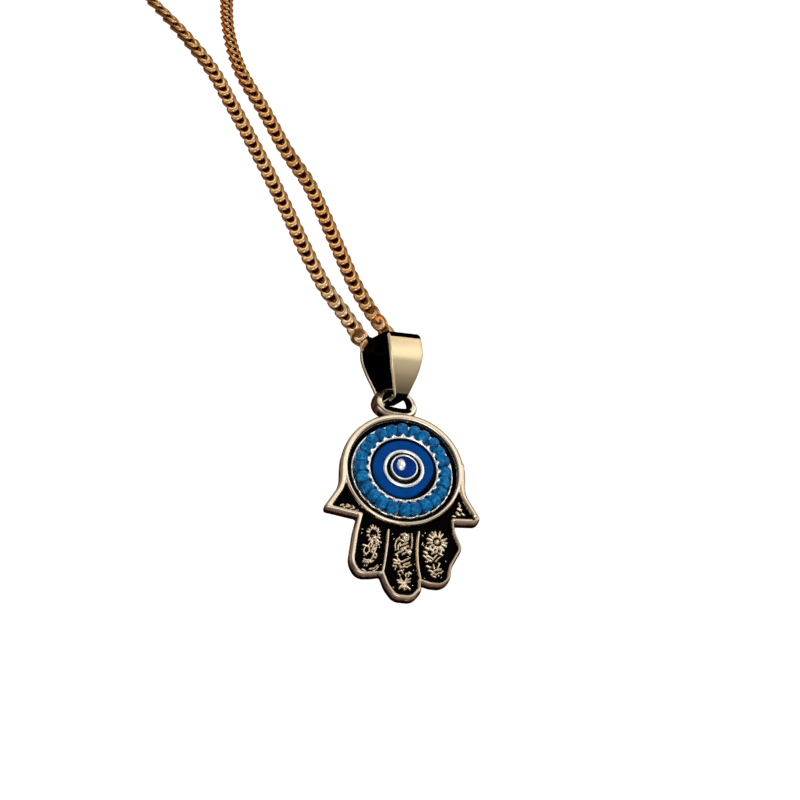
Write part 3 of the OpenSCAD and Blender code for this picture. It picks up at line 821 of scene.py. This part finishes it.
def build_eye():
    build_dish()
    black = [(0.001, 0.3), (2.0, 0.3), (2.4, BLACK_FRONT), (4.3, BLACK_FRONT), (IRIS_R - 0.02, 0.1),
             (IRIS_R - 0.02, BLACK_BACK), (0.001, BLACK_BACK)]
    turned_piece("eye_black_enamel", lambda a: black, 128, BLACK, "eye_black")

    outer_wave = wobble_of(21, 0.04)
    inner_wave = wobble_of(22, 0.03)

    def blue_rows(a):
        # The blue leaves more of the black free at its lower right
        lower_right = max(math.cos(a - math.radians(128)), 0) ** 6
        out_r = 4.36 + outer_wave(a)[0] - 0.42 * lower_right
        in_r = 2.92 + inner_wave(a)[0]
        return [(in_r - 0.02, BLACK_FRONT), (in_r, -0.1), (in_r + 0.1, -0.2), (in_r + 0.4, -0.235),
                (out_r - 0.35, -0.235), (out_r - 0.08, -0.2), (out_r, -0.08), (out_r + 0.01, BLACK_FRONT)]

    turned_piece("eye_blue_enamel", blue_rows, 128, BLUE, "eye_blue")
    round_ring("pupil_ring_silver", PUPIL_R + 0.25, 0.27, -0.5, "pupil_ring", 31, 0.03)
    round_ring("pupil_rim_silver", CORE_R + 0.13, 0.12, -0.85, "pupil_rim", 41, 0.02)
    edge = CORE_R - 0.01
    pupil = [(0.001, -0.76), (edge - 0.4, -0.75), (edge - 0.1, -0.72), (edge, -0.6), (edge, 0.3)]
    turned_piece("pupil_enamel", lambda a: pupil, 96, NAVY, "pupil")

    # An oval pearl of solder, left of and above the middle
    around = circle(32)
    rings = []
    for t in np.linspace(0, math.pi / 2, 13):
        x = PEARL_X + PEARL_W * math.sin(t) * np.cos(around)
        y = np.full(32, PEARL_FOOT - PEARL_OUT * math.cos(t))
        z = PEARL_Z + PEARL_H * math.sin(t) * np.sin(around)
        rings.append(EYE + np.stack([x, y, z], 1))
    ball = Shape()
    ball.rings(rings)
    make("pupil_ball_silver", ball, SOLDER, "hand", ["pupil_ball"])


BEAD_BORE = 0.3
BEAD_L = 0.8
BEAD_IN_R = 5.12


def build_beads():
    gen = random.Random(5)
    shape = Shape()
    for i in range(BEAD_N):
        a = math.radians(90 - i * 360 / BEAD_N + gen.uniform(-1.0, 1.0))
        # The beads at the sides are smaller than those at the top and bottom
        size = (0.88 + 0.12 * abs(math.sin(a))) * gen.uniform(0.96, 1.02)
        ring_r = BEAD_IN_R + size + gen.uniform(-0.04, 0.04)
        length = BEAD_L * gen.uniform(0.97, 1.03)
        depth = 0.1 + gen.uniform(-0.06, 0.04)
        centre = EYE + np.array([ring_r * math.cos(a), depth, ring_r * math.sin(a)])
        # Along the thread, outwards, and to the front
        along = unit([-math.sin(a), gen.uniform(-0.08, 0.08), math.cos(a)])
        outw = np.array([math.cos(a), 0, math.sin(a)])
        outw = unit(outw - (outw @ along) * along)
        front = np.cross(along, outw)
        profile = []
        for t in np.linspace(0, math.pi, 17):
            profile.append((BEAD_BORE + (size - BEAD_BORE) * math.sin(t) ** 0.82, -length * math.cos(t)))
        mouth = BEAD_BORE * 0.8
        profile += [(mouth, length * 0.75), (BEAD_BORE * 0.75, 0), (mouth, -length * 0.75)]
        rings = []
        for b in circle(24):
            way = outw * math.cos(b) + front * math.sin(b)
            rings.append(np.array([centre + along * z + way * r for r, z in profile]))
        shape.rings(rings, closed_way=True)
    nodes = ["bead_%02d" % i for i in range(1, BEAD_N + 1)]
    make("beads_glass", shape, BEAD, "hand", nodes)


# The bail: one strip folded into a ring, wide at its roof and narrow at its foot

BAIL_H = 9.8
BAIL_W = 5.95
BAIL_FOOT_W = 2.1
BAIL_D = 7.4
BAIL_T = 0.58
BAIL_EDGE_R = 0.2
# Rows of the two leaves from foot to roof: distance from the middle and radius as shares of the depth,
# and height as a share of the height
FRONT_LEAF = [[0.215, 0.03, 0.16], [0.375, 0.33, 0.6], [0.48, 0.64, 0.7], [0.42, 1, 0.15]]
BACK_LEAF = [[0.33, -0.045, 0.16], [0.42, 0.3, 0.6], [0.53, 0.64, 0.7], [0.49, 0.91, 0.16]]
# Half width of the strip between foot and widest, and height and radius as shares of the height
BAIL_FRONT = [[0, -0.08, 0], [0.03, 0.05, 0.2], [0.75, 0.43, 0.6], [1, 0.68, 0.4], [0.94, 1.02, 0]]


def bail_path(count):
    """Even points along the middle of the folded strip, with their outward directions."""
    rows = [[r[0] * BAIL_D, r[1] * BAIL_H, r[2] * BAIL_D, BAIL_T / 2] for r in BACK_LEAF]
    rows += [[-r[0] * BAIL_D, r[1] * BAIL_H, r[2] * BAIL_D, BAIL_T / 2] for r in FRONT_LEAF[::-1]]
    side = rounded(inset(rows), math.radians(4))
    closed = np.vstack([side, side[:1]])
    at = way_along(closed)
    s = np.linspace(0, at[-1], count, endpoint=False)
    path = np.stack([np.interp(s, at, closed[:, k]) for k in (0, 1)], 1)
    way = tangents(path)
    return path, np.stack([way[:, 1], -way[:, 0]], 1)


def bail_half_width():
    """Heights and half widths of the strip."""
    gain = BAIL_W - BAIL_FOOT_W
    rows = [[(BAIL_FOOT_W + gain * r[0]) / 2, r[1] * BAIL_H, r[2] * BAIL_H] for r in BAIL_FRONT]
    outline = rounded(rows + [[-r[0], r[1], r[2]] for r in rows[::-1]])
    right = outline[outline[:, 0] > 0]
    return right[:, 1], right[:, 0]


def strip_section(w):
    """Section of the strip: across, outward and the kind of surface, from the left of its outer face."""
    half = BAIL_T / 2
    flat = w - BAIL_EDGE_R
    out = [(v * flat, half, "outer") for v in np.linspace(-1, 1, 13)]
    for sign in (1, -1):
        if sign < 0:
            out += [(v * flat, -half, "inner") for v in np.linspace(1, -1, 9)]
        for k in range(1, 10):
            a = math.pi * k / 10
            across = flat + BAIL_EDGE_R * math.sin(a)
            outward = (half - BAIL_EDGE_R) * (1 if a < math.pi / 2 else -1) + BAIL_EDGE_R * math.cos(a)
            out.append((sign * across, sign * outward, "edge"))
    return out


def bail_tone(y, z, nz, kind, outward):
    """Painted dark: black inside, at the folds and at the foot, and on the edges but for bright lines along
    the front edges, as a painted dark reflection and painted shade; painted shade grows towards the foot,
    and a little lies on the top to tone down its highlight.
    """
    high = z / BAIL_H
    if kind == "inner":
        # Painted dark reflection inside the bail, with a little painted brown shade
        return [1.0, 0.2, 0.0]
    if kind == "edge":
        # Painted dark reflection on the edges, save bright lines left as painted highlights
        bright = (y < 0 and high < 0.93) or (-0.27 < outward < -0.12 and high < 0.9)
        return [0.0 if bright else 1.0, 0.0, 0.0]
    # Painted dark at the folds and the foot, painted shade towards the foot, and painted shade on the top
    bend = clip01((nz - 0.2) / 0.08) * clip01((0.985 - nz) / 0.02)
    foot = clip01((0.13 * BAIL_H - z) / 0.5)
    shade = clip01((0.52 - high) / 0.36)
    top_painted_shade = 0.42 * clip01((high - 0.62) / 0.2)
    return [max(bend, foot), 0.0, max(shade, top_painted_shade)]


def build_bail():
    path, out = bail_path(200)
    heights, halves = bail_half_width()
    rings = []
    tones = []
    for (y, z), (ny, nz) in zip(path, out):
        row = []
        for across, outward, kind in strip_section(np.interp(z, heights, halves)):
            row.append((across, y + ny * outward, z + nz * outward))
            tones.append(bail_tone(y, z, nz, kind, outward))
        rings.append(FOOT + np.array(row) @ BAIL_FRAME.T)
    shape = Shape()
    shape.rings(rings, closed_way=True, tones=np.array(tones))
    make("bail_leaf", shape, LEAF, "bail", ["bail"], toned=True)


# The chain: curb links along the CAD's routes

NAPE = [2.1, 192, 0.7]
CLASP_L = 9
CLASP_R = 1.66
GROOVE_R = 1.5
CHAIN_D = 1.95
# Routes of both halves in mm from the seat in the bail: across, along the rise, and behind
LEFT = [
    [0, 0, 0], [-2.9, 0.15, 0.2], [-4.4, 1.3, 0.3], [-4.6, 4, 0.5], [-4.7, 7.5, 0.7], [-5.3, 12.5, 0.7],
    [-4.8, 20, 0.7], [-3.4, 31, 0.7], [-2.4, 42, 0.7], [-1.7, 53, 0.7], [-1.6, 63, 0.7], [-4.9, 75, 0.7],
    [-12.4, 89, 0.7], [-23.9, 108, 0.7], [-33.4, 129, 0.7], [-35.4, 150, 0.7], [-29.9, 169, 0.7],
    [-17.9, 185, 0.7]]
RIGHT = [
    [0, 0, 0], [2.9, -0.15, -0.2], [4.2, -0.8, 0.1], [4.8, 0.5, 0.9], [4.8, 2.6, 1.6], [3.6, 4.5, 1.6],
    [2, 6.4, 0.9], [1.4, 9.5, 0.7], [1.5, 14.5, 0.7], [2.5, 21, 0.7], [3.8, 28.5, 0.7], [4.8, 36, 0.7],
    [4.4, 44, 0.7], [4.9, 53, 0.7], [5.3, 63, 0.7], [9.1, 75, 0.7], [16.6, 89, 0.7], [28.1, 108, 0.7],
    [37.6, 129, 0.7], [39.6, 150, 0.7], [34.1, 169, 0.7], [22.1, 185, 0.7]]
LINK_PITCH = 1.86
# Half widths of the wire at the upper end, the lower end and the sides of a link, and its half thickness
LINK_TOP_R, LINK_LOW_R, LINK_SIDE_R, LINK_HALF_T = 0.84, 0.46, 0.24, 0.27
# Every link leans with its lower end to the front and is twisted, so that one side passes over the next
LINK_LEAN, LINK_TWIST = 0.3, 0.1
# Up to the first distance the links face the viewer, and from there they turn square to the chain's plane
FACING, TURNING = 55, 25


def route(rows, side):
    """Even points along one half of the chain, with the distance from the bail."""
    end = CLASP_L / 2 + 0.1
    p = np.array(rows + [[NAPE[0] + side * x, NAPE[1], NAPE[2]] for x in (end + 2 * CHAIN_D, end)], float)
    p = np.vstack([2 * p[0] - p[1], p, 2 * p[-1] - p[-2]])
    pts = []
    for i in range(1, len(p) - 2):
        for t in np.linspace(0, 1, 40, endpoint=False):
            a, b, c, d = p[i - 1:i + 3]
            pts.append(0.5 * (2 * b + (c - a) * t + (2 * a - 5 * b + 4 * c - d) * t * t
                              + (3 * b - a - 3 * c + d) * t ** 3))
    pts.append(p[-2])
    pts = SEAT + np.array(pts) @ np.array([ACROSS, RISE, BEHIND])
    return pts, way_along(pts)


def link_form(pitch):
    """One link at even angles from its upper end: the half width of its wire, and the line it follows."""
    theta = circle(28)
    cos, sin = np.cos(theta), np.sin(theta)
    upper = cos > 0
    lower = clip01(-cos)
    end_r = np.where(upper, LINK_TOP_R, LINK_LOW_R)
    wire = LINK_SIDE_R + (end_r - LINK_SIDE_R) * np.abs(cos) ** np.where(upper, 0.6, 1.2)
    # The lower end is thicker on its left
    wire *= 1 + 0.25 * sin * lower
    # The upper end is nearly square and the lower end is round
    power = np.where(upper, 0.65, 0.85)
    beside = (CHAIN_D / 2 - LINK_SIDE_R) * signed_power(sin, power)
    # The lower end hangs to its left
    along = (pitch / 2 + end_r) * signed_power(cos, power) - 0.26 * beside * lower
    deep = LINK_LEAN * cos + LINK_TWIST * np.sin(2 * theta)
    return cos, sin, wire, along, beside, deep


def build_chain(name, rows, side, shade_ends, dark_end, node):
    """Half of the chain. Its painted shade goes from the first given amount to the second along the chain,
    and it is painted black, a painted shade inside the bail, up to dark_end.
    """
    pts, s = route(rows, side)
    count = int(round(s[-1] / LINK_PITCH))
    pitch = s[-1] / count
    cos, sin, wire, along, beside, deep = link_form(pitch)
    turns = [2 * math.pi * (j + 0.5) / 8 for j in range(8)]
    section = [(signed_power(math.cos(b), 0.75), signed_power(math.sin(b), 0.75)) for b in turns]

    def point(at):
        return np.array([np.interp(at, s, pts[:, k]) for k in range(3)])

    shape = Shape()
    for i in range(count):
        at = (i + 0.5) * pitch
        c = point(at)
        way = unit(point(at + 0.6) - point(max(at - 0.6, 0)))
        near = unit(VIEWER - (VIEWER @ way) * way)
        plain = unit(-BEHIND - (-BEHIND @ way) * way)
        far = clip01((at - FACING) / TURNING)
        face = unit(near * (1 - far) + plain * far)
        wide = np.cross(face, way)
        # Painted shade along the chain, growing away from the bail
        painted_shade = np.interp(at, [6, 26], shade_ends)
        narrow = np.interp(at, [3, 9], [0, 0.1])
        centre = c + np.outer(along, way) + np.outer(beside, wide) - np.outer(deep, face)
        tang = tangents(centre)
        out = centre - c
        out = units(out - (out * tang).sum(1)[:, None] * tang)
        third = np.cross(tang, out)
        rings = []
        tones = []
        for k in range(len(cos)):
            ring = []
            for u, v in section:
                offset = wire[k] * u * out[k] + LINK_HALF_T * v * third[k]
                p = centre[k] + offset
                p = p - wide * (narrow * ((p - c) @ wide))
                ring.append(p)
                # Painted highlight and shade: in front the lower end and the right side of a link are left
                # bright, and behind its upper end, and the rest gets painted brown shade
                front = offset @ face > 0
                to_end = -cos[k] + 0.6 * max(-sin[k], 0) if front else cos[k]
                bright_end = clip01((to_end - 0.1) / 0.35)
                # Painted brown shade in what lies deep, seen from the side that the point faces, and where
                # a link is not left bright
                height = ((p - c) @ face) * (1 if front else -1)
                brown_shade = max(clip01((0.16 - height) / 0.2), 0.92 * (1 - bright_end) * min(at / 4, 1))
                # Painted shade: a little black in the gap at the left of each link
                left_gap = 0.2 * (1 - bright_end) * clip01((sin[k] - 0.1) / 0.4)
                # Painted shade: black inside the bail
                in_bail = at + (p - c) @ way < dark_end
                tones.append([1.0 if in_bail else left_gap, brown_shade, painted_shade])
            rings.append(np.array(ring))
        shape.rings(rings, closed_way=True, tones=np.array(tones))
    make(name, shape, CHAIN, "chain", [node], toned=True)


def build_clasp():
    """Plain fluted barrel with a groove in its middle and near both ends."""
    u = ACROSS
    v = unit(np.cross(u, [0, 0, 1]))
    w = np.cross(u, v)
    rings = []
    for x in np.linspace(-CLASP_L / 2, CLASP_L / 2, 49):
        r = CLASP_R
        if abs(x) > 3.9:
            r = CLASP_R - 0.9 * ((abs(x) - 3.9) / 0.6) ** 2
        elif abs(x) < 0.12 or 3.38 < abs(x) < 3.62:
            r = GROOVE_R
        flute = 0.04 if 0.2 < abs(x) < 3.2 else 0
        ring = []
        for b in circle(72):
            ring.append(u * x + (r + flute * math.cos(24 * b)) * (v * math.cos(b) + w * math.sin(b)))
        rings.append(np.array(ring))
    shape = Shape()
    shape.rings(rings, caps=True)
    make("clasp_barrel", shape, CHAIN, "chain", ["clasp"], toned=True)


build_hand()
build_eye()
build_beads()
build_bail()
build_chain("chain_left_links", LEFT, -1, (0.5, 0.85), 4.7, "chain_left")
build_chain("chain_right_links", RIGHT, 1, (0.75, 0.95), 3.4, "chain_right")
build_clasp()


# Floor, light and camera. Floor and lights are in metres

FLOOR_HALF = 1.6
FLOOR_Z = -0.75
# Lights: name, place from the eye, size, power in watts and colour
LIGHTS = [
    ["key", (0.1, -0.42, 0.24), (0.4, 0.32), 0.42, (1, 1, 1)],
    ["fill_right", (0.4, -0.26, 0.1), (0.16, 0.36), 0.5, (1, 0.97, 0.93)],
    ["fill_low", (-0.1, -0.4, -0.2), (0.3, 0.2), 0.75, (1, 1, 1)],
    ["top", (-0.1, 0.05, 0.55), (0.4, 0.4), 0.8, (1, 1, 1)]]
# The camera: its distance and the size of a pixel at the eye in mm, the picture's width in pixels, and how
# far the eye shows right of and above the picture's middle in mm
CAMERA_FAR = 375
PIXEL = 0.14
PICTURE = 800
EYE_RIGHT, EYE_UP = 0.672, -9.828


def build_floor():
    mesh = bpy.data.meshes.new("floor")
    h = FLOOR_HALF
    corners = [(-h, -h, FLOOR_Z), (h, -h, FLOOR_Z), (h, h, FLOOR_Z), (-h, h, FLOOR_Z)]
    mesh.from_pydata(corners, [], [(0, 1, 2, 3)])
    obj = bpy.data.objects.new("floor", mesh)
    bpy.context.scene.collection.objects.link(obj)
    mat, tree, s = nodes_of("floor_paper")
    s.inputs["Base Color"].default_value = (0.82, 0.82, 0.81, 1)
    s.inputs["Roughness"].default_value = 0.9
    mesh.materials.append(mat)


def build_world():
    """White above and behind, darker in front and below."""
    world = bpy.data.worlds.new("studio")
    bpy.context.scene.world = world
    world.use_nodes = True
    tree = world.node_tree
    tree.nodes.clear()
    out = tree.nodes.new("ShaderNodeOutputWorld")
    back = tree.nodes.new("ShaderNodeBackground")
    coord = tree.nodes.new("ShaderNodeTexCoord")
    sep = tree.nodes.new("ShaderNodeSeparateXYZ")
    tree.links.new(coord.outputs["Generated"], sep.inputs[0])
    up = map_range(tree, sep.outputs[2], -0.25, 0.22, 0.12, 1.0)
    rear = map_range(tree, sep.outputs[1], -0.35, 0.45, 0.46, 1.0)
    both = math_node(tree, "MULTIPLY", up, rear)
    tree.links.new(math_node(tree, "MULTIPLY", both, 1.1), back.inputs["Strength"])
    back.inputs["Color"].default_value = (1, 0.995, 0.985, 1)
    tree.links.new(back.outputs[0], out.inputs[0])


def put(obj, place, right, up, back):
    """Links an object and places it in metres by what is right of, above and behind it."""
    bpy.context.scene.collection.objects.link(obj)
    turn = Matrix(np.stack([right, up, back], 1).tolist())
    obj.matrix_world = Matrix.Translation(place.tolist()) @ turn.to_4x4()


def build_lights():
    eye = EYE * MM
    for name, offset, size, power, colour in LIGHTS:
        light = bpy.data.lights.new(name, "AREA")
        light.shape = "RECTANGLE"
        light.size, light.size_y = size
        light.energy = power
        light.color = colour
        place = eye + np.array(offset)
        forward = unit(eye - place)
        right = unit(np.cross(forward, [0, 0, 1]))
        put(bpy.data.objects.new(name, light), place, right, np.cross(right, forward), -forward)


def build_camera():
    # A point near the middle of the eye, which the picture shows right of and below its own middle
    point = EYE + np.array([0.2, 0, -0.1])
    place = point - (EYE_RIGHT * VIEW_RIGHT + EYE_UP * VIEW_UP - CAMERA_FAR * VIEW_BACK)
    cam = bpy.data.cameras.new("camera")
    cam.sensor_width = 36
    cam.lens = 36 * (CAMERA_FAR / PIXEL) / PICTURE
    cam.clip_start = 0.01
    cam.clip_end = 20
    obj = bpy.data.objects.new("camera", cam)
    up = unit(VIEW_UP - (VIEW_UP @ VIEW_BACK) * VIEW_BACK)
    put(obj, place * MM, np.cross(up, VIEW_BACK), up, VIEW_BACK)
    bpy.context.scene.camera = obj


build_floor()
build_world()
build_lights()
build_camera()
bpy.context.scene.view_settings.view_transform = "Standard"
